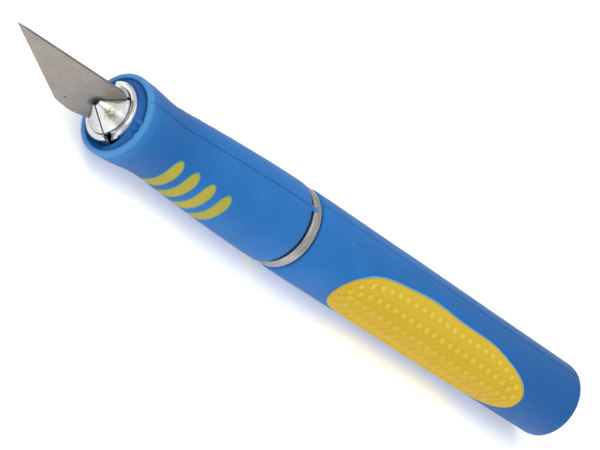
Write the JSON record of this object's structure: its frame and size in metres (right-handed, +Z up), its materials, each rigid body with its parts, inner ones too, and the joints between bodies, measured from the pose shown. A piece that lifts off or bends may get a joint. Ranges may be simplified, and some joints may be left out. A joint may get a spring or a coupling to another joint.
{
  "type": "hobby craft knife",
  "caption": "Soft-grip hobby knife with a fine-point blade held in a screw chuck with a four-jaw collet.",
  "frame": {"origin": "centre of the bounding box in X and Y, on the surface that the knife lies on", "axes": "+X along the handle towards the blade's tip, +Z up, towards the blade's spine"},
  "size_m": [0.158, 0.016, 0.0156],
  "materials": {
    "blade_steel": "fine ground",
    "bright_metal": "bright turned",
    "satin_aluminium": "satin turned",
    "brass": "turned",
    "blue_rubber": "satin moulded",
    "yellow_rubber": "satin moulded",
    "hard_plastic": "moulded"
  },
  "bodies": {
    "handle": {"middle_ring": "satin_aluminium", "handle_tube": "satin_aluminium", "thread_insert": "brass", "tail_plug": "hard_plastic", "rear_grip": "blue_rubber", "thumb_pad_left": "yellow_rubber", "thumb_pad_right": "yellow_rubber"},
    "chuck": {"chuck_barrel": "bright_metal", "front_grip": "blue_rubber", "finger_stripe_left_1": "yellow_rubber", "finger_stripe_left_2": "yellow_rubber", "finger_stripe_left_3": "yellow_rubber", "finger_stripe_left_4": "yellow_rubber", "finger_stripe_right_1": "yellow_rubber", "finger_stripe_right_2": "yellow_rubber", "finger_stripe_right_3": "yellow_rubber", "finger_stripe_right_4": "yellow_rubber"},
    "collet": {"collet": "bright_metal"},
    "blade": {"blade": "blade_steel"}
  },
  "joints": [
    {"name": "chuck_twist", "type": "hinge", "parent": "handle", "child": "chuck", "pos_m": [0.04735, 0, 0.00779], "axis": [1, 0, 0], "range_deg": [0, 540]},
    {"name": "collet_draw", "type": "slide", "parent": "chuck", "child": "collet", "axis": [1, 0, 0], "range_m": [0, 0.00125]},
    {"name": "blade_pull", "type": "slide", "parent": "collet", "child": "blade", "axis": [1, 0, 0], "range_m": [0, 0.02]}
  ],
  "couplings": [
    {"joint": "collet_draw", "follows": "chuck_twist", "m_per_rad": 0.00012732}
  ]
}
